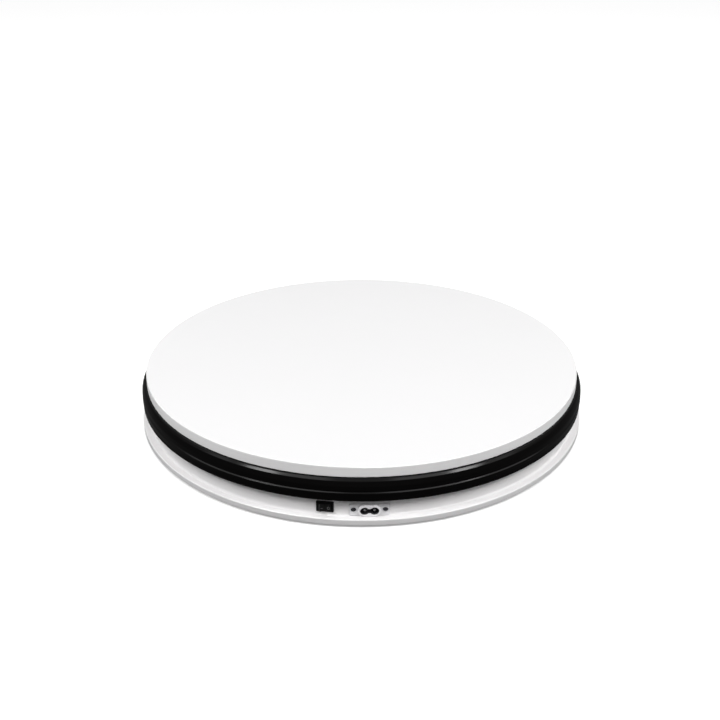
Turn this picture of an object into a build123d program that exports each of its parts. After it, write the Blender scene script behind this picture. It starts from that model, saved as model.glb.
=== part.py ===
from build123d import *
import math
import os

# Motorised turntable display stand, 450 mm across. Millimetres, +Z up.
# The origin is on the surface it stands on, under the centre of the platter.
# The mains switch and the mains inlet are on the front wall, which faces -Y.
#
# Bodies: the base (tray, feet, motor, roller brackets, switch, inlet, wiring), the
# platter (top plate, trim ring, roller track, drive hub, motor shaft), six support
# rollers and the switch rocker.

# ---- Heights above the table ----
total_height = 58.0
plate_thickness = 10.4
plate_bottom = total_height - plate_thickness
trim_bottom = 26.0
base_bottom = 2.6
floor_top = 5.6
ledge_top = 7.8
rim_top = 8.4
wall_top = 36.0

# ---- Radii about the spin axis ----
plate_radius = 219.5
trim_radius = 224.8
rim_radius = 226.0
wall_radius = 218.0
wall_thickness = 3.0
wall_inner_radius = wall_radius - wall_thickness

# ---- Running clearances ----
shaft_clearance = 0.05
slip_clearance = 0.1
panel_clearance = 0.2

# ---- Feet ----
support_count = 6
foot_circle_radius = 203.0
foot_radius = 11.0
foot_recess_depth = 1.5
foot_counterbore_depth = 2.2
foot_screw_length = 9.6
foot_boss_top = 13.0

# ---- Self-tapping screws (shank radius, head radius, head height) ----
small_screw = (1.75, 3.1, 1.8)
large_screw = (2.0, 3.75, 2.2)

# ---- Support rollers, on a circle under the plate's edge ----
track_radius = 182.0
track_width = 24.0
track_thickness = 1.6
track_bottom = plate_bottom - track_thickness
roller_gap = 0.1
roller_radius = 15.0
roller_hub_radius = 12.0
roller_width = 10.0
roller_bore_radius = 2.55
roller_axis_height = track_bottom - roller_gap - roller_radius
axle_radius = 2.5
bracket_sheet = 1.6
bracket_side_gap = 0.7
bracket_half_width = roller_width / 2 + bracket_side_gap + bracket_sheet
bracket_length = 44.0
bracket_screw_offset = 16.0
plinth_top = 11.0

# ---- Motor and its bridge plate, on the spin axis ----
motor_radius = 25.0
motor_bottom = 7.5
gearbox_bottom = 22.5
bridge_bottom = 31.0
bridge_thickness = 1.6
bridge_top = bridge_bottom + bridge_thickness
bridge_size = (98.0, 62.0)
pillar_x = 42.0
pillar_y = 24.0
pillar_radius = 4.5
motor_ear_x = 30.0
motor_boss_radius = 7.0
motor_boss_top = 34.0
shaft_radius = 3.5
shaft_flat = 2.5
shaft_bottom = 25.0
shaft_top = 45.0

# ---- Drive hub, screwed up into the top plate ----
hub_flange_radius = 32.0
hub_flange_thickness = 5.0
hub_flange_bottom = plate_bottom - hub_flange_thickness
hub_neck_radius = 11.0
hub_neck_bottom = 34.6
hub_screw_circle = 24.0

# ---- Trim ring ----
trim_flange_thickness = 2.0
trim_flange_bottom = plate_bottom - trim_flange_thickness
trim_flange_inner_radius = 198.0
trim_screw_circle = 206.0
trim_screw_count = 12
plate_hole_depth = 7.4

# ---- Mains inlet (two pins, 8.6 mm apart, in a figure-of-eight socket) ----
inlet_angle = 1.84
inlet_height = 14.0
inlet_seat_radius = 216.4
inlet_flange = (36.0, 11.8, 2.0)
inlet_boss = (20.3, 11.8, 2.8)
inlet_rear = (18.8, 10.8, 14.4)
inlet_pin_pitch = 8.6
inlet_pin_radius = 1.2
inlet_lobe_radius = 4.1
inlet_waist = 5.2
inlet_socket_depth = 10.0
inlet_screw_pitch = 28.0
inlet_screw_recess = 1.3
inlet_pad_radius = 212.0

# ---- Mains switch (snap-in rocker, 15.6 x 10.4 mm bezel) ----
switch_angle = -8.44
switch_height = 16.2
switch_seat_radius = 217.7
switch_bezel = (15.6, 10.4, 1.8)
switch_housing = (13.4, 8.8, 13.7)
rocker_radius = 5.8
rocker_height = 7.2
rocker_pivot = 0.3
rocker_tilt = 12.0

# ---- Wiring ----
lead_radius = 1.2
lead_floor = floor_top + lead_radius + 0.2
lead_block_depth = 4.0
blade = (0.8, 4.8)
blade_offset = 3.5
blade_tip_radius = 196.0

UPWARD = (Align.CENTER, Align.CENTER, Align.MIN)
DOWNWARD = (Align.CENTER, Align.CENTER, Align.MAX)


# ---------------------------------------------------------------- helpers
def disc(radius, low, high, x=0.0, y=0.0):
    """A cylinder on a vertical axis between two heights."""
    return Pos(x, y, low) * Cylinder(radius, high - low, align=UPWARD)


def block(size_x, size_y, low, high, x=0.0, y=0.0):
    """A box between two heights."""
    return Pos(x, y, low) * Box(size_x, size_y, high - low, align=UPWARD)


def turned(outline):
    """Turn an outline of (radius, height, corner rounding) about the spin axis."""
    points = [(radius, 0, height) for radius, height, rounding in outline]
    roundings = [rounding for radius, height, rounding in outline]
    profile = FilletPolyline(*points, radius=roundings, close=True)
    return revolve(make_face(profile), Axis.Z)


def around(piece, angle):
    """Swing a piece about the spin axis."""
    return Rot(0, 0, angle) * piece


def on_wall(piece, seat_radius, height, angle):
    """Stand a piece on the wall: its +Z faces outwards and its +Y stays up."""
    return Rot(0, 0, angle) * Pos(0, -seat_radius, height) * Rot(90, 0, 0) * piece


def wall_point(side, radius, height, angle):
    """The place of a point seen from the front wall, swung to its angle."""
    turn = math.radians(angle)
    x = side * math.cos(turn) + radius * math.sin(turn)
    y = side * math.sin(turn) - radius * math.cos(turn)
    return (x, y, height)


def support_angles():
    """The angles of the rollers and of the feet under them."""
    return [index * 360.0 / support_count for index in range(support_count)]


def save(name, *pieces):
    """Write one node, as one solid or as a group of separate solids."""
    solids = [solid for piece in pieces for solid in piece.solids()]
    shape = solids[0] if len(solids) == 1 else Compound(solids)
    export_step(shape, f"parts/{name}.step")


def cross_recess(head_radius, top, depth):
    """The cross in a screw's head, cut down from the given height."""
    slot = head_radius * 0.34
    span = head_radius * 1.15
    across = Pos(0, 0, top) * Box(span, slot, 2 * depth)
    along = Pos(0, 0, top) * Box(slot, span, 2 * depth)
    return across + along


def pan_screw(sizes, length):
    """A screw with its head's underside at z = 0 and its shank pointing down."""
    shank_radius, head_radius, head_height = sizes
    head = Cylinder(head_radius, head_height, align=UPWARD)
    head = fillet(head.edges().sort_by(Axis.Z)[-1], head_height * 0.55)
    shank = Cylinder(shank_radius, length, align=DOWNWARD)
    tip = shank.edges().sort_by(Axis.Z)[0]
    shank = chamfer(tip, shank_radius * 0.4)
    return head + shank - cross_recess(head_radius, head_height, 1.0)


def screw_up(sizes, length, x, y, seat):
    """A screw driven upwards, its head under the seat."""
    return Pos(x, y, seat) * Rot(180, 0, 0) * pan_screw(sizes, length)


def screw_down(sizes, length, x, y, seat):
    """A screw driven downwards, its head on the seat."""
    return Pos(x, y, seat) * pan_screw(sizes, length)


# ---------------------------------------------------------------- base tray
def tray_body():
    """The turned shape of the tray: floor, rim, ledge and wall."""
    outer = turned([
        (0, base_bottom, 0),
        (rim_radius, base_bottom, 0.6),
        (rim_radius, rim_top, 1.0),
        (wall_radius, ledge_top, 1.6),
        (wall_radius, wall_top, 1.0),
        (wall_inner_radius, wall_top, 1.0),
        (wall_inner_radius, floor_top, 2.0),
        (0, floor_top, 0),
    ])
    rim_channel = turned([
        (wall_radius - 0.8, base_bottom - 1, 0),
        (wall_radius - 0.8, floor_top + 0.2, 0.8),
        (rim_radius - 2.8, floor_top + 0.2, 0.8),
        (rim_radius - 2.8, base_bottom - 1, 0),
    ])
    return outer - rim_channel


def underside_groove(radius):
    """A shallow ring pressed into the underside."""
    return turned([
        (radius - 1.5, base_bottom - 1, 0),
        (radius - 1.5, base_bottom + 0.8, 0.3),
        (radius + 1.5, base_bottom + 0.8, 0.3),
        (radius + 1.5, base_bottom - 1, 0),
    ])


def ring_rib(radius, top):
    """A round stiffening rib on the tray's floor, open at the front for the leads."""
    rib = disc(radius + 1.2, floor_top - 0.5, top) - disc(radius - 1.2, floor_top - 1, top + 1)
    return rib - block(20, 12, floor_top - 1, top + 1, y=-radius)


def radial_ribs(inner_radius, outer_radius, top):
    """Straight ribs between the two round ones."""
    length = outer_radius - inner_radius
    middle = (outer_radius + inner_radius) / 2
    rib = block(length, 2.0, floor_top - 0.5, top, x=middle)
    ribs = [around(rib, 15 + 30 * index) for index in range(12)]
    return Part() + ribs


def foot_bosses():
    """The bosses that take the foot screws."""
    boss = disc(5.0, floor_top - 0.5, foot_boss_top, x=foot_circle_radius)
    return Part() + [around(boss, angle) for angle in support_angles()]


def foot_seats():
    """What the feet and their screws need cut out of the tray."""
    recess = disc(foot_radius + panel_clearance, base_bottom - 1, base_bottom + foot_recess_depth,
                  x=foot_circle_radius)
    hole = disc(small_screw[0] + shaft_clearance, base_bottom, foot_boss_top - 1,
                x=foot_circle_radius)
    seat = recess + hole
    return [around(seat, angle) for angle in support_angles()]


def bracket_plinths():
    """The raised pads that the roller brackets stand on."""
    plinth = block(2 * bracket_half_width + 3, bracket_length + 3, floor_top - 0.5, plinth_top,
                   x=track_radius)
    plinth = fillet(plinth.edges().filter_by(Axis.Z), 3.0)
    return Part() + [around(plinth, angle) for angle in support_angles()]


def plinth_holes():
    """Pilot holes for the bracket screws."""
    holes = []
    for side in (-1, 1):
        hole = disc(small_screw[0] + shaft_clearance, base_bottom + 1.5, plinth_top + 1,
                    x=track_radius, y=side * bracket_screw_offset)
        holes += [around(hole, angle) for angle in support_angles()]
    return holes


def motor_pillars():
    """Four pillars under the motor's bridge plate."""
    pillars = []
    for x in (-pillar_x, pillar_x):
        for y in (-pillar_y, pillar_y):
            pillars.append(disc(pillar_radius, floor_top - 0.5, bridge_bottom, x=x, y=y))
    return Part() + pillars


def pillar_holes():
    """Pilot holes in the tops of the pillars."""
    holes = []
    for x in (-pillar_x, pillar_x):
        for y in (-pillar_y, pillar_y):
            holes.append(disc(small_screw[0] + shaft_clearance, bridge_bottom - 12,
                              bridge_bottom + 1, x=x, y=y))
    return holes


def motor_vents():
    """Eight slots through the floor round the motor."""
    slot = Pos(44, 0, base_bottom - 1) * extrude(SlotOverall(20, 3.2), floor_top)
    return [around(slot, 45 * index) for index in range(8)]


def inlet_cutout():
    """What the mains inlet needs cut out of the wall: a flat seat, a slot and two holes."""
    width, height, thickness = inlet_flange
    seat = extrude(RectangleRounded(width + 0.4, height + 0.4, 2.2), thickness + 1)
    slot = Pos(0, 0, -20) * extrude(SlotOverall(inlet_rear[0] + 0.4, inlet_rear[1] + 0.4), 30)
    holes = [Pos(side * inlet_screw_pitch / 2, 0, 0) * Cylinder(1.7, 40) for side in (-1, 1)]
    return on_wall(Part() + [seat, slot] + holes, inlet_seat_radius, inlet_height, inlet_angle)


def inlet_pad():
    """The thick patch inside the wall that the inlet's screws clamp."""
    low = floor_top - 0.5
    high = inlet_height + 8.5
    depth = wall_inner_radius + 1 - inlet_pad_radius
    middle = (low + high) / 2
    pad = Box(44, high - low, depth, align=UPWARD)
    return on_wall(pad, inlet_pad_radius, middle, inlet_angle)


def switch_cutout():
    """What the mains switch needs cut out of the wall: a flat seat and a window."""
    seat = Box(switch_bezel[0] + 0.4, switch_bezel[1] + 0.4, 10, align=UPWARD)
    window = Box(switch_housing[0] + 0.3, switch_housing[1] + 0.3, 20)
    return on_wall(seat + window, switch_seat_radius, switch_height, switch_angle)


def base_shell():
    """The moulded tray with all its bosses, ribs, pads and openings."""
    rib_top = 12.0
    shell = tray_body()
    shell += [ring_rib(62, rib_top), ring_rib(140, rib_top), radial_ribs(62, 140, rib_top)]
    shell += [foot_bosses(), bracket_plinths(), motor_pillars(), inlet_pad()]
    shell -= [underside_groove(75), underside_groove(165)]
    shell -= foot_seats() + plinth_holes() + pillar_holes() + motor_vents()
    return shell - inlet_cutout() - switch_cutout()


# ---------------------------------------------------------------- feet
def foot():
    """A rubber foot on its circle, with a sunk hole for its screw."""
    top = base_bottom + foot_recess_depth
    pad = disc(foot_radius, 0, top, x=foot_circle_radius)
    pad = fillet(pad.edges().sort_by(Axis.Z)[0], 1.2)
    pad -= disc(small_screw[1] + 0.6, -1, foot_counterbore_depth, x=foot_circle_radius)
    return pad - disc(small_screw[0] + 0.15, 0, top + 1, x=foot_circle_radius)


def foot_screw():
    """The screw that holds one foot."""
    return screw_up(small_screw, foot_screw_length, foot_circle_radius, 0,
                    foot_counterbore_depth)


# ---------------------------------------------------------------- top plate
def plate_screw_holes():
    """Blind holes in the plate's underside for the hub, track and trim screws."""
    places = [(hub_screw_circle, 45 + 90 * index, large_screw[0]) for index in range(4)]
    places += [(track_screw_circle(), 30 + 60 * index, small_screw[0]) for index in range(6)]
    places += [(trim_screw_circle, 15 + 30 * index, small_screw[0])
               for index in range(trim_screw_count)]
    holes = []
    for circle, angle, shank_radius in places:
        hole = disc(shank_radius + shaft_clearance, plate_bottom - 1,
                    plate_bottom + plate_hole_depth, x=circle)
        holes.append(around(hole, angle))
    return holes


def top_plate():
    """The round table that things stand on."""
    plate = turned([
        (0, plate_bottom, 0),
        (plate_radius, plate_bottom, 0.6),
        (plate_radius, total_height, 0.9),
        (0, total_height, 0),
    ])
    return plate - plate_screw_holes()


# ---------------------------------------------------------------- trim ring
def trim_ring():
    """The ribbed ring round the platter: a flange under the plate and a deep skirt."""
    ring = turned([
        (trim_flange_inner_radius, trim_flange_bottom, 0),
        (trim_flange_inner_radius, plate_bottom, 0),
        (plate_radius + 0.4, plate_bottom, 0.3),
        (plate_radius + 1.6, plate_bottom - 0.3, 0.5),
        (trim_radius - 2.0, plate_bottom - 2.2, 0.6),
        (trim_radius - 0.2, plate_bottom - 6.6, 2.0),
        (trim_radius, trim_bottom + 10.7, 0.5),
        (trim_radius - 1.2, trim_bottom + 9.6, 0.25),
        (trim_radius + 0.1, trim_bottom + 8.4, 0.8),
        (trim_radius - 0.25, trim_bottom + 5.2, 2.5),
        (trim_radius - 0.3, trim_bottom, 0.9),
        (trim_radius - 3.3, trim_bottom, 0.6),
        (trim_radius - 3.3, trim_flange_bottom, 1.2),
    ])
    hole = disc(small_screw[0] + 0.15, trim_flange_bottom - 1, plate_bottom + 1,
                x=trim_screw_circle)
    return ring - [around(hole, 15 + 30 * index) for index in range(trim_screw_count)]


def trim_screws():
    """The screws that hold the trim ring's flange up against the plate."""
    screw = screw_up(small_screw, 8.6, trim_screw_circle, 0, trim_flange_bottom)
    return [around(screw, 15 + 30 * index) for index in range(trim_screw_count)]


# ---------------------------------------------------------------- roller track
def track_screw_circle():
    """Outside the stretch that the rollers run on."""
    return track_radius + track_width / 2 - 3.0


def countersunk_head(shank_radius, head_radius, top):
    """A cone that widens up to the given height."""
    height = head_radius - shank_radius
    cone = Cone(shank_radius, head_radius, height, align=DOWNWARD)
    return Pos(0, 0, top) * cone


def roller_track():
    """The flat steel ring that the rollers run on."""
    track = disc(track_radius + track_width / 2, track_bottom, plate_bottom)
    track -= disc(track_radius - track_width / 2, track_bottom - 1, plate_bottom + 1)
    hole = Pos(track_screw_circle(), 0, track_bottom) * Rot(180, 0, 0) * (
        countersunk_head(1.8, 3.1, 0) + Cylinder(1.8, 10))
    return track - [around(hole, 30 + 60 * index) for index in range(6)]


def track_screws():
    """Flush screws through the track into the plate."""
    shank = Cylinder(small_screw[0], 8.0, align=DOWNWARD)
    screw = shank + countersunk_head(small_screw[0], 3.0, -0.05) - cross_recess(2.4, -0.05, 0.6)
    placed = Pos(track_screw_circle(), 0, track_bottom) * Rot(180, 0, 0) * screw
    return [around(placed, 30 + 60 * index) for index in range(6)]


# ---------------------------------------------------------------- drive hub and shaft
def shaft_section(clearance):
    """The motor shaft's D section, larger all round by the clearance."""
    radius = shaft_radius + clearance
    flat = Pos(0, shaft_flat + clearance) * Rectangle(4 * radius, 4 * radius,
                                                      align=(Align.CENTER, Align.MIN))
    return Circle(radius) - flat


def motor_shaft():
    """The motor's output shaft: round in the gearbox, with a flat inside the hub."""
    round_part = disc(shaft_radius, shaft_bottom, hub_neck_bottom)
    flat_part = Pos(0, 0, hub_neck_bottom) * extrude(shaft_section(0), shaft_top - hub_neck_bottom)
    return round_part + flat_part


def drive_hub():
    """The hub that drops over the shaft's flat and carries the plate."""
    hub = turned([
        (0, hub_neck_bottom, 0),
        (hub_neck_radius, hub_neck_bottom, 0.6),
        (hub_neck_radius, hub_flange_bottom, 2.0),
        (hub_flange_radius, hub_flange_bottom, 0.6),
        (hub_flange_radius, plate_bottom, 0.4),
        (0, plate_bottom, 0),
    ])
    bore = Pos(0, 0, hub_neck_bottom - 1) * extrude(shaft_section(shaft_clearance),
                                                    shaft_top + 1.5 - hub_neck_bottom)
    hole = disc(large_screw[0] + 0.15, hub_flange_bottom - 1, plate_bottom + 1,
                x=hub_screw_circle)
    return hub - bore - [around(hole, 45 + 90 * index) for index in range(4)]


def hub_screws():
    """The screws from the hub's flange into the plate."""
    screw = screw_up(large_screw, 12.0, hub_screw_circle, 0, hub_flange_bottom)
    return [around(screw, 45 + 90 * index) for index in range(4)]


# ---------------------------------------------------------------- motor
def motor_can():
    """The drawn steel can, with the block its leads come out of."""
    can = disc(motor_radius, motor_bottom, gearbox_bottom)
    can = fillet(can.edges().sort_by(Axis.Z)[0], 2.0)
    depth = lead_block_depth + 2.0
    lead_block = block(12, depth, 11, 18, y=depth / 2 - motor_radius - lead_block_depth)
    return can + lead_block


def motor_gearbox():
    """The gearbox: a round case with a shaft boss and two mounting ears."""
    case = disc(motor_radius, gearbox_bottom, bridge_bottom)
    ears = extrude(SlotOverall(2 * motor_ear_x + 11, 11), bridge_thickness)
    case += Pos(0, 0, bridge_bottom - bridge_thickness) * ears
    case += disc(motor_boss_radius, bridge_bottom, motor_boss_top)
    case -= disc(shaft_radius + shaft_clearance, shaft_bottom - 1, motor_boss_top + 1)
    for side in (-1, 1):
        case -= disc(2.15, bridge_bottom - 5, bridge_bottom + 1, x=side * motor_ear_x)
    return case


def motor_bridge():
    """The steel plate that the motor hangs from."""
    plate = Pos(0, 0, bridge_bottom) * extrude(RectangleRounded(*bridge_size, 6), bridge_thickness)
    plate -= disc(motor_boss_radius + 0.5, bridge_bottom - 1, bridge_top + 1)
    for side in (-1, 1):
        plate -= disc(2.15, bridge_bottom - 1, bridge_top + 1, x=side * motor_ear_x)
    for x in (-pillar_x, pillar_x):
        for y in (-pillar_y, pillar_y):
            plate -= disc(small_screw[0] + 0.15, bridge_bottom - 1, bridge_top + 1, x=x, y=y)
    return plate


def motor_screws():
    """Two screws through the bridge into the motor's ears."""
    return [screw_down(large_screw, 8.0, side * motor_ear_x, 0, bridge_top) for side in (-1, 1)]


def motor_nuts():
    """The nuts under the motor's ears."""
    height = 3.0
    ear_bottom = bridge_bottom - bridge_thickness
    hexagon = RegularPolygon(3.5, 6, major_radius=False) - Circle(2.0 + shaft_clearance)
    nut = extrude(hexagon, height)
    return [Pos(side * motor_ear_x, 0, ear_bottom - height) * nut for side in (-1, 1)]


def bridge_screws():
    """Four screws through the bridge into the tray's pillars."""
    screws = []
    for x in (-pillar_x, pillar_x):
        for y in (-pillar_y, pillar_y):
            screws.append(screw_down(small_screw, 10.0, x, y, bridge_top))
    return screws


# ---------------------------------------------------------------- support rollers
def roller_at_axis(piece):
    """Lay a piece turned about Z along the roller's axis, which points outwards."""
    return Pos(track_radius, 0, roller_axis_height) * Rot(0, 90, 0) * piece


def roller_hub():
    """The nylon wheel centre: a rim, a thin web and a long boss."""
    rim_inner = roller_hub_radius - 2.6
    boss = 4.8
    half = roller_width / 2
    hub = turned([
        (roller_bore_radius, -half, 0),
        (boss, -half, 0.3),
        (boss, -1.5, 0.8),
        (rim_inner, -1.5, 0.8),
        (rim_inner, 0.4 - half, 0.3),
        (roller_hub_radius, 0.4 - half, 0.3),
        (roller_hub_radius, half - 0.4, 0.3),
        (rim_inner, half - 0.4, 0.3),
        (rim_inner, 1.5, 0.8),
        (boss, 1.5, 0.8),
        (boss, half, 0.3),
        (roller_bore_radius, half, 0),
    ])
    return roller_at_axis(hub)


def roller_tyre():
    """The soft tread round the wheel centre."""
    half = roller_width / 2 - 0.4
    inner = roller_hub_radius + 0.03
    tyre = turned([
        (inner, -half, 0),
        (roller_radius, -half, 1.0),
        (roller_radius, half, 1.0),
        (inner, half, 0),
    ])
    return roller_at_axis(tyre)


def bracket_cheek():
    """One side of a bracket, flat in XY: wide at the foot and round at the axle."""
    axle_height = roller_axis_height - plinth_top
    foot_half = 12.0
    head = 6.0
    sides = Polyline((-foot_half, 0), (foot_half, 0), (head, axle_height), (-head, axle_height),
                     close=True)
    face = make_face(sides) + Pos(0, axle_height) * Circle(head)
    return face - Pos(0, axle_height) * Circle(axle_radius + shaft_clearance)


def roller_bracket():
    """The folded steel bracket that holds one roller's axle."""
    base = block(2 * bracket_half_width, bracket_length, plinth_top, plinth_top + bracket_sheet,
                 x=track_radius)
    for side in (-1, 1):
        base -= disc(small_screw[0] + 0.15, plinth_top - 1, plinth_top + 3, x=track_radius,
                     y=side * bracket_screw_offset)
    sheet = extrude(bracket_cheek(), bracket_sheet)
    for start in (-bracket_half_width, bracket_half_width - bracket_sheet):
        base += Pos(track_radius + start, 0, plinth_top) * (Plane.YZ * sheet)
    return base


def roller_axle():
    """The pin through one roller: a head outside, a groove for the clip inside."""
    groove = bracket_half_width + 0.1
    inner_end = bracket_half_width + 2.2
    pin = Pos(0, 0, -inner_end) * Cylinder(axle_radius, inner_end + bracket_half_width,
                                           align=UPWARD)
    head = Pos(0, 0, bracket_half_width) * Cylinder(4.0, 1.2, align=UPWARD)
    ring = Cylinder(4.0, 0.8, align=DOWNWARD) - Cylinder(2.0, 3)
    return roller_at_axis(pin + head - Pos(0, 0, -groove) * ring)


def axle_clip():
    """The open spring ring that keeps one axle in."""
    ring = Cylinder(4.6, 0.6, align=DOWNWARD) - Cylinder(2.05, 3)
    ring -= Pos(4, 0, 0) * Box(8, 3.0, 3)
    return roller_at_axis(Pos(0, 0, -bracket_half_width - 0.2) * ring)


def bracket_screws():
    """The two screws that hold one bracket down."""
    seat = plinth_top + bracket_sheet
    return [screw_down(small_screw, 8.0, track_radius, side * bracket_screw_offset, seat)
            for side in (-1, 1)]


# ---------------------------------------------------------------- mains inlet
def socket_outline():
    """The figure of eight that a mains lead's connector fills."""
    outline = Rectangle(inlet_pin_pitch, inlet_waist)
    for side in (-1, 1):
        outline += Pos(side * inlet_pin_pitch / 2, 0) * Circle(inlet_lobe_radius)
    return outline


def inlet_body():
    """Flange, raised oval mouth and rear housing in one moulding."""
    width, height, thickness = inlet_flange
    boss_width, boss_height, boss_rise = inlet_boss
    rear_width, rear_height, rear_depth = inlet_rear
    front = thickness + boss_rise
    flange = extrude(RectangleRounded(width, height, 2), thickness)
    flange = chamfer(flange.edges().group_by(Axis.Z)[-1], 0.35)
    boss = extrude(SlotOverall(boss_width, boss_height), front)
    boss = fillet(boss.edges().group_by(Axis.Z)[-1], 1.3)
    rear = Pos(0, 0, -rear_depth) * extrude(SlotOverall(rear_width, rear_height), rear_depth)
    body = flange + boss + rear
    body -= Pos(0, 0, front - inlet_socket_depth) * extrude(socket_outline(), inlet_socket_depth)
    for side in (-1, 1):
        pin_hole = Cylinder(inlet_pin_radius + shaft_clearance, 60)
        body -= Pos(side * inlet_pin_pitch / 2, 0, 0) * pin_hole
        seat = thickness - inlet_screw_recess
        screw_hole = Cylinder(1.65, 60) + countersunk_head(1.65, 2.6, seat + 0.05)
        screw_hole += Pos(0, 0, seat) * Cylinder(2.6, 3, align=UPWARD)
        body -= Pos(side * inlet_screw_pitch / 2, 0, 0) * screw_hole
    return on_wall(body, inlet_seat_radius, inlet_height, inlet_angle)


def inlet_contact(side):
    """One round pin with the solder blade behind it."""
    recess = 2.2
    tip = inlet_flange[2] + inlet_boss[2] - recess
    rear = -inlet_rear[2]
    pin = Pos(0, 0, rear) * Cylinder(inlet_pin_radius, tip - rear, align=UPWARD)
    pin = fillet(pin.edges().sort_by(Axis.Z)[-1], 0.8)
    tail_length = inlet_seat_radius + rear - blade_tip_radius
    tail = Pos(0, 0, rear) * Box(blade[0], blade[1], tail_length, align=DOWNWARD)
    contact = Pos(side * inlet_pin_pitch / 2, 0, 0) * (pin + tail)
    return on_wall(contact, inlet_seat_radius, inlet_height, inlet_angle)


def inlet_screw(side):
    """A countersunk machine screw at the bottom of its recess in the flange."""
    top = inlet_flange[2] - inlet_screw_recess
    shank = Pos(0, 0, top) * Cylinder(1.5, 10.5, align=DOWNWARD)
    screw = shank + countersunk_head(1.5, 2.4, top) - cross_recess(2.1, top, 0.8)
    placed = Pos(side * inlet_screw_pitch / 2, 0, 0) * screw
    return on_wall(placed, inlet_seat_radius, inlet_height, inlet_angle)


def inlet_nut(side):
    """The nut behind the wall for one inlet screw."""
    hexagon = RegularPolygon(2.75, 6, major_radius=False) - Circle(1.5 + shaft_clearance)
    nut = Pos(side * inlet_screw_pitch / 2, 0, 0) * extrude(hexagon, -2.4)
    return on_wall(nut, inlet_pad_radius, inlet_height, inlet_angle)


# ---------------------------------------------------------------- mains switch
def snap_wing(side):
    """The sprung wedge that holds the switch behind the wall."""
    edge = switch_housing[0] / 2
    start = -(switch_seat_radius - wall_inner_radius) - 0.4
    outline = Polyline((edge - 0.3, start), (edge + 0.9, start), (edge - 0.3, start - 4.5),
                       close=True)
    wedge = extrude(make_face(outline), 4.0, both=True)
    upright = Rot(90, 0, 0) * Pos(0, 0, 0) * wedge
    return upright if side > 0 else mirror(upright, Plane.YZ)


def switch_body():
    """Bezel and housing, hollow where the rocker swings."""
    width, height, thickness = switch_bezel
    housing_width, housing_height, depth = switch_housing
    bezel = Box(width, height, thickness, align=UPWARD)
    bezel = fillet(bezel.edges().filter_by(Axis.Z), 0.8)
    bezel = fillet(bezel.edges().group_by(Axis.Z)[-1], 0.5)
    housing = Box(housing_width, housing_height, depth, align=DOWNWARD)
    body = bezel + housing + snap_wing(-1) + snap_wing(1)
    swing = Rot(90, 0, 0) * Cylinder(rocker_radius + 0.3, rocker_height + 0.4)
    body -= Pos(0, 0, rocker_pivot) * swing
    body -= Pos(0, 0, rocker_pivot) * Box(2 * rocker_radius + 0.6, rocker_height + 0.4, 5,
                                          align=UPWARD)
    body -= Pos(0, 0, rocker_pivot) * Rot(90, 0, 0) * Cylinder(0.85, 20 - 11.4)
    for side in (-1, 1):
        slot = Box(blade[0] + 0.1, blade[1] + 0.1, 30, align=DOWNWARD)
        body -= Pos(side * blade_offset, 0, 0) * slot
    return on_wall(body, switch_seat_radius, switch_height, switch_angle)


def switch_rocker():
    """The rocker, tipped to one side, on two short trunnions."""
    barrel = Rot(90, 0, 0) * Cylinder(rocker_radius, rocker_height)
    back = Pos(0, 0, -3.2) * Box(20, 20, 20, align=DOWNWARD)
    middle = 2.1
    edge = middle + 7 * math.tan(math.radians(rocker_tilt + 2))
    outline = Polyline((-7, edge), (0, middle), (7, edge), (7, 12), (-7, 12), close=True)
    valley = Rot(90, 0, 0) * extrude(make_face(outline), 10, both=True)
    rocker = barrel - back - valley
    rocker = fillet(rocker.edges().group_by(Axis.Z)[-1], 0.35)
    rocker += Rot(90, 0, 0) * Cylinder(0.8, rocker_height + 1.2)
    tipped = Pos(0, 0, rocker_pivot) * Rot(0, rocker_tilt, 0) * rocker
    return on_wall(tipped, switch_seat_radius, switch_height, switch_angle)


def switch_terminal(side):
    """One blade out of the back of the switch."""
    inner = -5.9
    length = switch_seat_radius + inner - blade_tip_radius
    tail = Pos(side * blade_offset, 0, inner) * Box(blade[0], blade[1], length, align=DOWNWARD)
    return on_wall(tail, switch_seat_radius, switch_height, switch_angle)


# ---------------------------------------------------------------- wiring
def corner_radii(points):
    """The largest tangent arc that each corner of a lead's route has room for."""
    radii = []
    for before, corner, after in zip(points, points[1:], points[2:]):
        run_in = Vector(*corner) - Vector(*before)
        run_out = Vector(*after) - Vector(*corner)
        turn = math.radians(run_in.get_angle(run_out))
        shorter = min(run_in.length, run_out.length)
        radii.append(0.45 * shorter / math.tan(turn / 2))
    return radii


def lead(name, points):
    """An insulated lead along its route, with its bends printed."""
    radii = corner_radii(points)
    path = FilletPolyline(*points, radius=radii)
    section = Plane(origin=path @ 0, z_dir=path % 0) * Circle(lead_radius)
    tube = sweep(section, path=path)
    expected = math.pi * lead_radius ** 2 * path.length
    print(name, "length", round(path.length, 1), "tightest bend", round(min(radii), 1),
          "volume ratio", round(tube.volume / expected, 4))
    return tube


def lead_inlet_to_switch():
    """Live, from the inlet's left contact to the switch's near blade."""
    left = -inlet_pin_pitch / 2
    return lead("lead_inlet_to_switch", [
        wall_point(left, blade_tip_radius, inlet_height, inlet_angle),
        wall_point(left, blade_tip_radius - 9, inlet_height, inlet_angle),
        (-3.5, -179.5, 14.5),
        (-11.2, -176.4, 15.1),
        (-18.9, -178.4, 15.7),
        wall_point(blade_offset, blade_tip_radius - 9, switch_height, switch_angle),
        wall_point(blade_offset, blade_tip_radius, switch_height, switch_angle)])


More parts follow.
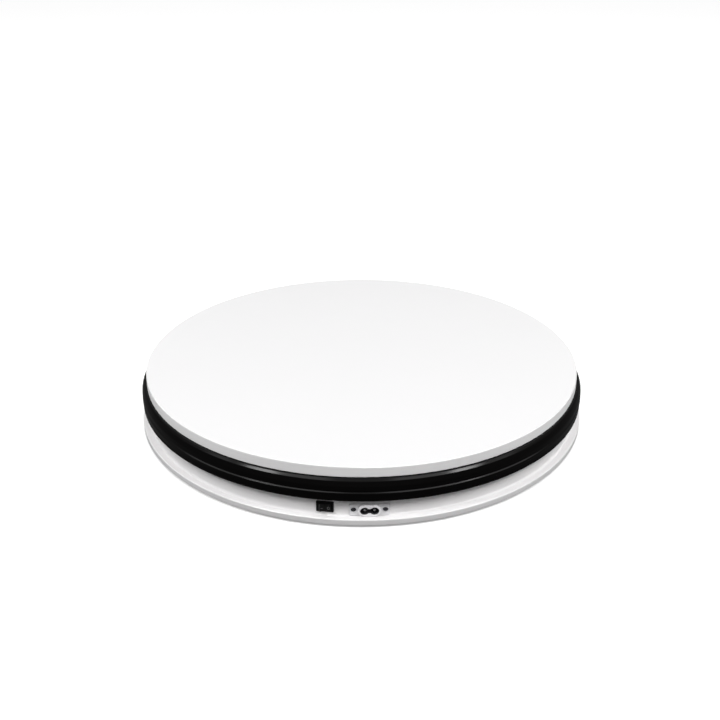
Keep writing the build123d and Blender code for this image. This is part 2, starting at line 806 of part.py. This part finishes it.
def lead_switch_to_motor():
    """Switched live, from the switch's far blade to the motor."""
    entry = -motor_radius - lead_block_depth
    return lead("lead_switch_to_motor", [
        wall_point(-blade_offset, blade_tip_radius, switch_height, switch_angle),
        wall_point(-blade_offset, blade_tip_radius - 12, switch_height, switch_angle),
        (-27.6, -170, 13.4),
        (-20.5, -159, 9.9),
        (-12.5, -149, 7.7),
        (-6.0, -135, lead_floor),
        (-3.6, -112, lead_floor),
        (-4.4, -87, lead_floor),
        (-3.4, -64, lead_floor),
        (-2.6, -51, 9.2),
        (-2.5, -42, 14.5),
        (-2.5, entry, 14.5)])


def lead_inlet_to_motor():
    """Neutral, from the inlet's right contact to the motor."""
    right = inlet_pin_pitch / 2
    entry = -motor_radius - lead_block_depth
    return lead("lead_inlet_to_motor", [
        wall_point(right, blade_tip_radius, inlet_height, inlet_angle),
        wall_point(right, blade_tip_radius - 12, inlet_height, inlet_angle),
        (10.6, -172, 11.8),
        (9.0, -160, 9.2),
        (6.2, -147, 7.5),
        (3.8, -128, lead_floor),
        (4.4, -103, lead_floor),
        (3.6, -79, lead_floor),
        (3.8, -62, lead_floor),
        (2.6, -51, 9.2),
        (2.5, -42, 14.5),
        (2.5, entry, 14.5)])


def cable_clip(y):
    """A saddle on the tray's floor over the two motor leads."""
    saddle = block(20, 8, floor_top, floor_top + 5.0, y=y)
    saddle = fillet(saddle.edges().filter_by(Axis.Y).sort_by(Axis.Z)[-2:], 1.5)
    return saddle - block(13, 10, floor_top - 1, floor_top + 3.0, y=y)


# ---------------------------------------------------------------- every node
def write_base():
    save("base_shell", base_shell())
    save("foot_screws", *[around(foot_screw(), angle) for angle in support_angles()])
    save("motor_can", motor_can())
    save("motor_gearbox", motor_gearbox())
    save("motor_bridge", motor_bridge())
    save("motor_screws", *motor_screws())
    save("motor_nuts", *motor_nuts())
    save("bridge_screws", *bridge_screws())
    save("inlet_body", inlet_body())
    save("inlet_contacts", inlet_contact(-1), inlet_contact(1))
    save("inlet_screws", inlet_screw(-1), inlet_screw(1))
    save("inlet_nuts", inlet_nut(-1), inlet_nut(1))
    save("switch_body", switch_body())
    save("switch_terminals", switch_terminal(-1), switch_terminal(1))
    save("switch_rocker", switch_rocker())
    save("lead_inlet_to_switch", lead_inlet_to_switch())
    save("lead_switch_to_motor", lead_switch_to_motor())
    save("lead_inlet_to_motor", lead_inlet_to_motor())
    save("cable_clips", cable_clip(-118), cable_clip(-82))


def write_platter():
    save("top_plate", top_plate())
    save("trim_ring", trim_ring())
    save("trim_screws", *trim_screws())
    save("roller_track", roller_track())
    save("track_screws", *track_screws())
    save("drive_hub", drive_hub())
    save("hub_screws", *hub_screws())
    save("motor_shaft", motor_shaft())


def write_supports():
    makers = {"foot": foot, "roller_bracket": roller_bracket, "roller_axle": roller_axle,
              "roller_hub": roller_hub, "roller_tyre": roller_tyre}
    for name, maker in makers.items():
        piece = maker()
        for index, angle in enumerate(support_angles(), start=1):
            save(f"{name}_{index}", around(piece, angle))
    clip = axle_clip()
    save("axle_clips", *[around(clip, angle) for angle in support_angles()])
    pairs = [around(screw, angle) for angle in support_angles() for screw in bracket_screws()]
    save("bracket_screws", *pairs)


os.makedirs("parts", exist_ok=True)
write_base()
write_platter()
write_supports()
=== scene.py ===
import math

import bmesh
import bpy
from mathutils import Matrix, Vector


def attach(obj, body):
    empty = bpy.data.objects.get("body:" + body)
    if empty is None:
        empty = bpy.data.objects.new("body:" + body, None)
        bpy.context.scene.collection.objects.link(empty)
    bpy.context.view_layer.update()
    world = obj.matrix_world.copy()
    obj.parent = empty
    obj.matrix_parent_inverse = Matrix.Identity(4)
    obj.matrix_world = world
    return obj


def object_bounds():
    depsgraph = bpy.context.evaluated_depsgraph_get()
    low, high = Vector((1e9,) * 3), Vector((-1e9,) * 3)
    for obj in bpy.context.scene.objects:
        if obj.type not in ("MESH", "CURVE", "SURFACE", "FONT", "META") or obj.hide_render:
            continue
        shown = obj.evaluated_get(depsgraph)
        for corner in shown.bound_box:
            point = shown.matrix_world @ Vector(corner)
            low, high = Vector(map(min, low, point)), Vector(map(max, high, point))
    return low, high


# Looks for the motorised turntable display stand. Metres, +Z up, the front faces -Y.
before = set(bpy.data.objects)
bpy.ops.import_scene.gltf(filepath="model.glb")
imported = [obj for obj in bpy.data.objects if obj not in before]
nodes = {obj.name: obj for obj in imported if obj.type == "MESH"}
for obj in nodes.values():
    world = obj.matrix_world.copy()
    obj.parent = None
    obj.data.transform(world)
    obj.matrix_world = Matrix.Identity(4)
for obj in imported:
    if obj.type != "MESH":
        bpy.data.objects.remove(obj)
cad_low, cad_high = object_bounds()
scene = bpy.context.scene

support_count = 6


# ---------------------------------------------------------------- node helpers
def new_material(name, color, roughness, metallic=0.0, specular=0.5):
    """A Principled material with its constant values set on the shader."""
    material = bpy.data.materials.new(name)
    material.use_nodes = True
    shader = material.node_tree.nodes["Principled BSDF"]
    shader.inputs["Base Color"].default_value = (*color, 1.0)
    shader.inputs["Roughness"].default_value = roughness
    shader.inputs["Metallic"].default_value = metallic
    shader.inputs["Specular IOR Level"].default_value = specular
    return material, material.node_tree, shader


def object_coordinates(tree, scale=(1.0, 1.0, 1.0)):
    """Coordinates in the object's own metres, stretched by the scale."""
    source = tree.nodes.new("ShaderNodeTexCoord")
    mapping = tree.nodes.new("ShaderNodeMapping")
    mapping.inputs["Scale"].default_value = scale
    tree.links.new(source.outputs["Object"], mapping.inputs["Vector"])
    return mapping.outputs["Vector"]


def noise(tree, vector, scale, detail=2.0, roughness=0.5):
    """A noise texture's factor."""
    texture = tree.nodes.new("ShaderNodeTexNoise")
    texture.inputs["Scale"].default_value = scale
    texture.inputs["Detail"].default_value = detail
    texture.inputs["Roughness"].default_value = roughness
    tree.links.new(vector, texture.inputs["Vector"])
    return texture.outputs["Fac"]


def spread(tree, value, low, high, start=0.3, end=0.7):
    """Map a factor onto a range."""
    ranger = tree.nodes.new("ShaderNodeMapRange")
    ranger.inputs["From Min"].default_value = start
    ranger.inputs["From Max"].default_value = end
    ranger.inputs["To Min"].default_value = low
    ranger.inputs["To Max"].default_value = high
    tree.links.new(value, ranger.inputs["Value"])
    return ranger.outputs["Result"]


def tint(tree, value, dark, light):
    """Blend between two colours by a factor."""
    mixer = tree.nodes.new("ShaderNodeMix")
    mixer.data_type = "RGBA"
    mixer.inputs["A"].default_value = (*dark, 1.0)
    mixer.inputs["B"].default_value = (*light, 1.0)
    tree.links.new(value, mixer.inputs["Factor"])
    return mixer.outputs["Result"]


def bump(tree, shader, height, strength, distance):
    """Bump the surface by a height factor; the distance is in metres."""
    node = tree.nodes.new("ShaderNodeBump")
    node.inputs["Strength"].default_value = strength
    node.inputs["Distance"].default_value = distance
    tree.links.new(height, node.inputs["Height"])
    tree.links.new(node.outputs["Normal"], shader.inputs["Normal"])


def moulded_plastic(name, color, roughness, grain_scale, grain_depth, specular=0.5,
                    variation=0.03, polish=0.05):
    """Moulded plastic: a fine grain, slow roughness changes and a slight change of tone."""
    material, tree, shader = new_material(name, color, roughness, specular=specular)
    vector = object_coordinates(tree)
    slow = noise(tree, vector, 14.0, 3.0)
    dark = tuple(channel * (1.0 - variation) for channel in color)
    tree.links.new(tint(tree, slow, dark, color), shader.inputs["Base Color"])
    patch = noise(tree, vector, 45.0, 4.0, 0.6)
    tree.links.new(spread(tree, patch, roughness - polish, roughness + polish),
                   shader.inputs["Roughness"])
    grain = noise(tree, vector, grain_scale, 2.0, 0.6)
    bump(tree, shader, grain, 1.0, grain_depth)
    return material


def distance_from_spin_axis(tree):
    """How far a point of the object is from the vertical axis, in metres."""
    length = tree.nodes.new("ShaderNodeVectorMath")
    length.operation = "LENGTH"
    tree.links.new(object_coordinates(tree, (1.0, 1.0, 0.0)), length.inputs[0])
    return length.outputs["Value"]


def multiply(tree, first, second):
    """The product of two factors."""
    node = tree.nodes.new("ShaderNodeMath")
    node.operation = "MULTIPLY"
    tree.links.new(first, node.inputs[0])
    tree.links.new(second, node.inputs[1])
    return node.outputs["Value"]


def blend_colors(tree, factor, first, second):
    """Blend between two linked colours by a factor."""
    mixer = tree.nodes.new("ShaderNodeMix")
    mixer.data_type = "RGBA"
    tree.links.new(factor, mixer.inputs["Factor"])
    tree.links.new(first, mixer.inputs["A"])
    tree.links.new(second, mixer.inputs["B"])
    return mixer.outputs["Result"]


def wall_coordinates(tree, angle):
    """Side, depth and height of a point, turned so that the wall at the angle faces -Y."""
    source = tree.nodes.new("ShaderNodeTexCoord")
    turn = tree.nodes.new("ShaderNodeMapping")
    turn.inputs["Rotation"].default_value = (0.0, 0.0, -angle)
    tree.links.new(source.outputs["Object"], turn.inputs["Vector"])
    split = tree.nodes.new("ShaderNodeSeparateXYZ")
    tree.links.new(turn.outputs["Vector"], split.inputs["Vector"])
    return split.outputs


def calculate(tree, operation, first, second=0.0):
    """One step of arithmetic on a linked value."""
    node = tree.nodes.new("ShaderNodeMath")
    node.operation = operation
    tree.links.new(first, node.inputs[0])
    node.inputs[1].default_value = second
    return node.outputs["Value"]


def distance_from_bar(tree, place, half_length, height):
    """How far a point is from a level bar in the wall, seen from the front."""
    beyond = calculate(tree, "SUBTRACT", calculate(tree, "ABSOLUTE", place["X"]), half_length)
    side = calculate(tree, "MAXIMUM", beyond, 0.0)
    rise = calculate(tree, "SUBTRACT", place["Z"], height)
    both = tree.nodes.new("ShaderNodeCombineXYZ")
    tree.links.new(side, both.inputs["X"])
    tree.links.new(rise, both.inputs["Z"])
    length = tree.nodes.new("ShaderNodeVectorMath")
    length.operation = "LENGTH"
    tree.links.new(both.outputs["Vector"], length.inputs[0])
    return length.outputs["Value"]


def inlet_plastic(name, angle, height):
    """White glossy plastic, with painted light: the collar in front is painted brighter as a
    painted highlight, the plate behind it darker as painted shade, and the socket's hollow nearly
    black as painted shade.
    """
    material, tree, shader = new_material(name, (0.93, 0.92, 0.94), 0.28)
    place = wall_coordinates(tree, angle)
    slow = noise(tree, object_coordinates(tree), 60.0, 3.0)
    # Painted highlight: the proud collar is a brighter copy of the same white plastic.
    collar_painted_highlight = tint(tree, slow, (0.90, 0.89, 0.91), (0.95, 0.945, 0.955))
    # Painted shade: the plate behind the collar is a darker copy of the same white plastic.
    flange_painted_shade = tint(tree, slow, (0.76, 0.755, 0.775), (0.82, 0.815, 0.83))
    # Painted shade: a near-black colour down in the socket's hollow, where only shade falls.
    socket_painted_shade = tint(tree, slow, (0.030, 0.030, 0.034), (0.050, 0.050, 0.055))
    proud = spread(tree, place["Y"], 1.0, 0.0, -0.2187, -0.2185)
    deep = spread(tree, place["Y"], 0.0, 1.0, -0.2201, -0.2195)
    around_pins = distance_from_bar(tree, place, 0.0043, height)
    across = spread(tree, around_pins, 1.0, 0.0, 0.0046, 0.0048)
    outside = blend_colors(tree, proud, flange_painted_shade, collar_painted_highlight)
    # Painted shade mask: dark only deep in the hollow and within the outline round the pins.
    socket_shade_mask = multiply(tree, across, deep)
    tree.links.new(blend_colors(tree, socket_shade_mask, outside, socket_painted_shade), shader.inputs["Base Color"])
    tree.links.new(spread(tree, slow, 0.24, 0.34), shader.inputs["Roughness"])
    bump(tree, shader, noise(tree, object_coordinates(tree), 2500.0), 0.4, 0.00001)
    return material


def plate_plastic(name, top_color, edge_painted_light_color):
    """The table's satin surface. The band at its outer radius is painted much brighter than the
    upper face, as painted light: the same white board in a lit and a shaded copy.
    """
    material, tree, shader = new_material(name, top_color, 0.55, specular=0.25)
    vector = object_coordinates(tree)
    slow = noise(tree, vector, 9.0, 3.0)
    dusty = tuple(channel * 0.985 for channel in top_color)
    top = tint(tree, slow, dusty, top_color)
    # Painted light: the outer band is a far brighter copy of the same white as the upper face.
    edge_painted_light = tint(tree, slow, tuple(channel * 0.985 for channel in edge_painted_light_color), edge_painted_light_color)
    # Mask of the outer band that gets the painted light.
    edge_light_mask = spread(tree, distance_from_spin_axis(tree), 0.0, 1.0, 0.2189, 0.2193)
    tree.links.new(blend_colors(tree, edge_light_mask, top, edge_painted_light), shader.inputs["Base Color"])
    patch = noise(tree, vector, 45.0, 4.0, 0.6)
    tree.links.new(spread(tree, patch, 0.50, 0.60), shader.inputs["Roughness"])
    bump(tree, shader, noise(tree, vector, 1600.0, 2.0, 0.6), 1.0, 0.00002)
    return material


def plated_steel(name, color, roughness, scale=(1.0, 1.0, 1.0)):
    """Plated sheet or turned steel with fine rolling lines and small stains."""
    material, tree, shader = new_material(name, color, roughness, metallic=1.0)
    vector = object_coordinates(tree, scale)
    lines = noise(tree, vector, 900.0, 2.0)
    stains = noise(tree, object_coordinates(tree), 60.0, 4.0, 0.6)
    dark = tuple(channel * 0.82 for channel in color)
    tree.links.new(tint(tree, stains, dark, color), shader.inputs["Base Color"])
    tree.links.new(spread(tree, lines, roughness - 0.07, roughness + 0.1),
                   shader.inputs["Roughness"])
    bump(tree, shader, lines, 0.5, 0.00004)
    return material


# ---------------------------------------------------------------- materials
def assign(material, *names):
    """Give CAD nodes a material."""
    for name in names:
        data = nodes[name].data
        data.materials.clear()
        data.materials.append(material)


def numbered(stem):
    """The six names of a repeated node."""
    return [f"{stem}_{index}" for index in range(1, support_count + 1)]


# The plate's outer band is painted brighter than its upper face, as painted light; the upper face
# is the darker copy.
plate_white = plate_plastic("plate_white", (0.695, 0.692, 0.695), (0.98, 0.975, 0.975))
base_white = moulded_plastic("base_white", (0.875, 0.865, 0.868), 0.45, 1500.0, 0.00002)
trim_black = moulded_plastic("trim_black", (0.0022, 0.0020, 0.0020), 0.15, 900.0, 0.000001,
                             specular=0.14, polish=0.02)
# The inlet's colours paint light: a brighter collar, a darker plate behind it and a near-black
# hollow as painted shade.
inlet_white = inlet_plastic("inlet_white", math.radians(1.84), 0.014)
switch_black = moulded_plastic("switch_black", (0.0030, 0.0030, 0.0032), 0.34, 4000.0, 0.000006,
                               specular=0.18)
rocker_black = moulded_plastic("rocker_black", (0.0060, 0.0060, 0.0062), 0.38, 4000.0, 0.000006,
                               specular=0.22)
mark_grey = moulded_plastic("mark_grey", (0.22, 0.22, 0.22), 0.50, 5000.0, 0.000004)
foot_black = moulded_plastic("foot_black", (0.030, 0.030, 0.030), 0.80, 900.0, 0.00008)
tread_black = moulded_plastic("tread_black", (0.045, 0.045, 0.047), 0.75, 1200.0, 0.00006)
nylon = moulded_plastic("nylon", (0.62, 0.62, 0.58), 0.40, 1500.0, 0.00002)
brown_pvc = moulded_plastic("brown_pvc", (0.16, 0.05, 0.02), 0.42, 1800.0, 0.00002)
blue_pvc = moulded_plastic("blue_pvc", (0.02, 0.07, 0.30), 0.42, 1800.0, 0.00002)
zinc = plated_steel("zinc", (0.62, 0.63, 0.65), 0.30)
strip_steel = plated_steel("strip_steel", (0.58, 0.59, 0.60), 0.34, (0.2, 1.0, 1.0))
ground_steel = plated_steel("ground_steel", (0.68, 0.69, 0.70), 0.18)
nickel = plated_steel("nickel", (0.72, 0.72, 0.73), 0.16)
dark_steel = plated_steel("dark_steel", (0.10, 0.10, 0.11), 0.32)
aluminium = plated_steel("aluminium", (0.70, 0.71, 0.72), 0.28)

assign(plate_white, "top_plate")
assign(base_white, "base_shell")
assign(trim_black, "trim_ring")
assign(inlet_white, "inlet_body")
assign(switch_black, "switch_body")
assign(rocker_black, "switch_rocker")
assign(foot_black, *numbered("foot"))
assign(tread_black, *numbered("roller_tyre"))
assign(nylon, "cable_clips", *numbered("roller_hub"))
assign(brown_pvc, "lead_inlet_to_switch", "lead_switch_to_motor")
assign(blue_pvc, "lead_inlet_to_motor")
assign(zinc, "foot_screws", "bridge_screws", "bracket_screws", "trim_screws", "track_screws",
       "hub_screws", "motor_screws", "motor_nuts", "motor_can", "motor_gearbox")
assign(strip_steel, "motor_bridge", "roller_track", *numbered("roller_bracket"))
assign(ground_steel, "motor_shaft", "axle_clips", *numbered("roller_axle"))
assign(nickel, "inlet_contacts", "switch_terminals", "inlet_nuts")
assign(dark_steel, "inlet_screws")
assign(aluminium, "drive_hub")

# ---------------------------------------------------------------- marks on the rocker
switch_angle = math.radians(-8.44)
switch_seat = 0.2177
switch_height = 0.0162
rocker_pivot = 0.0003
rocker_rest_tilt = math.radians(12.0)
rocker_face_slope = math.tan(math.radians(14.0))
rocker_valley = 0.0021

rocker_frame = (Matrix.Rotation(switch_angle, 4, "Z")
                @ Matrix.Translation((0.0, -switch_seat, switch_height))
                @ Matrix.Rotation(math.pi / 2, 4, "X")
                @ Matrix.Translation((0.0, 0.0, rocker_pivot))
                @ Matrix.Rotation(rocker_rest_tilt, 4, "Y"))


def on_rocker(x, y):
    """A point on the rocker's face, in metres from its middle."""
    return rocker_frame @ Vector((x, y, rocker_valley + abs(x) * rocker_face_slope))


def rocker_mark(name, points, closed, thickness=0.00016):
    """A thin raised line moulded on the rocker's face."""
    curve = bpy.data.curves.new(name, "CURVE")
    curve.dimensions = "3D"
    curve.bevel_depth = thickness
    curve.bevel_resolution = 3
    curve.use_fill_caps = not closed
    line = curve.splines.new("POLY")
    line.points.add(len(points) - 1)
    for place, point in zip(line.points, points):
        place.co = (*on_rocker(*point), 1.0)
    line.use_cyclic_u = closed
    curve.materials.append(mark_grey)
    mark = bpy.data.objects.new(name, curve)
    scene.collection.objects.link(mark)
    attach(mark, "rocker")


circle_points = []
for step in range(40):
    turn = 2 * math.pi * step / 40
    circle_points.append((0.0029 + 0.0010 * math.cos(turn), -0.0006 + 0.0012 * math.sin(turn)))
rocker_mark("rocker_mark_off", circle_points, True)
rocker_mark("rocker_mark_on", [(-0.0040, -0.0006), (-0.0032, -0.0006), (-0.0022, -0.0006)], False)


# ---------------------------------------------------------------- floor and backdrop
def backdrop_piece(name, build, glow):
    """A white stage piece that the camera sees, kept out of reflections and bounces."""
    mesh = bpy.data.meshes.new(name)
    builder = bmesh.new()
    build(builder)
    builder.to_mesh(mesh)
    builder.free()
    piece = bpy.data.objects.new(name, mesh)
    scene.collection.objects.link(piece)
    material, _, shader = new_material(name + "_white", (0.93, 0.93, 0.93), 0.9, specular=0.0)
    shader.inputs["Emission Color"].default_value = (1.0, 1.0, 1.0, 1.0)
    shader.inputs["Emission Strength"].default_value = glow
    mesh.materials.append(material)
    piece.visible_diffuse = False
    piece.visible_glossy = False
    piece.visible_shadow = False


def build_floor(builder):
    bmesh.ops.create_circle(builder, cap_ends=True, segments=128, radius=30.0)
    bmesh.ops.translate(builder, verts=builder.verts, vec=(0.0, 0.0, -0.0001))


def build_wall(builder):
    bmesh.ops.create_cone(builder, cap_ends=False, segments=128, radius1=30.0, radius2=30.0,
                          depth=30.0)
    bmesh.ops.translate(builder, verts=builder.verts, vec=(0.0, 0.0, 14.9))


backdrop_piece("floor", build_floor, 0.26)
backdrop_piece("backdrop", build_wall, 0.70)

# ---------------------------------------------------------------- light
ground_light = 0.09
horizon_light = 0.10
zenith_light = 1.15
light_target = Vector((0.0, 0.0, 0.03))

world = bpy.data.worlds.new("studio")
scene.world = world
world.use_nodes = True
sky = world.node_tree
background = sky.nodes["Background"]
background.inputs["Color"].default_value = (1.0, 1.0, 1.0, 1.0)
direction = sky.nodes.new("ShaderNodeTexCoord")
split = sky.nodes.new("ShaderNodeSeparateXYZ")
sky.links.new(direction.outputs["Generated"], split.inputs["Vector"])
rise = spread(sky, split.outputs["Z"], horizon_light, zenith_light, 0.25, 1.0)
above = spread(sky, split.outputs["Z"], 0.0, 1.0, -0.04, 0.04)
strength = sky.nodes.new("ShaderNodeMix")
strength.data_type = "FLOAT"
strength.inputs["A"].default_value = ground_light
sky.links.new(above, strength.inputs["Factor"])
sky.links.new(rise, strength.inputs["B"])
sky.links.new(strength.outputs["Result"], background.inputs["Strength"])


def softbox(name, azimuth, elevation, distance, size, power):
    """An area light round the stand; azimuth 0 is behind the camera, positive to the right."""
    light = bpy.data.lights.new(name, "AREA")
    light.shape = "RECTANGLE"
    light.size, light.size_y = size
    light.energy = power
    lamp = bpy.data.objects.new(name, light)
    side, height = math.radians(azimuth), math.radians(elevation)
    way = Vector((math.sin(side) * math.cos(height),
                  -math.cos(side) * math.cos(height),
                  math.sin(height)))
    lamp.location = light_target + way * distance
    lamp.rotation_euler = way.to_track_quat("Z", "Y").to_euler()
    scene.collection.objects.link(lamp)


softbox("softbox_right", 57, 42, 2.2, (0.45, 0.30), 11)
softbox("softbox_left", -54, 42, 2.2, (0.45, 0.30), 9)
softbox("fill_right", 44, 50, 2.4, (1.5, 1.0), 13)
softbox("fill_left", -44, 50, 2.4, (1.5, 1.0), 13)
softbox("fill_east", 90, 40, 2.6, (1.4, 0.8), 6)
softbox("fill_west", -90, 40, 2.6, (1.4, 0.8), 6)

# ---------------------------------------------------------------- camera
camera_elevation = math.radians(25.42)
camera_distance = 1.1495
camera_target = Vector((0.0, 0.0, cad_high.z))
camera_data = bpy.data.cameras.new("camera")
camera_data.lens = 55.565
camera_data.sensor_width = 36.0
camera_data.shift_x = -0.0021
camera_data.shift_y = -0.0040
camera = bpy.data.objects.new("camera", camera_data)
camera.location = camera_target + camera_distance * Vector(
    (0.0, -math.cos(camera_elevation), math.sin(camera_elevation)))
camera.rotation_euler = (math.pi / 2 - camera_elevation, 0.0, 0.0)
scene.collection.objects.link(camera)
scene.camera = camera
scene.view_settings.view_transform = "Standard"
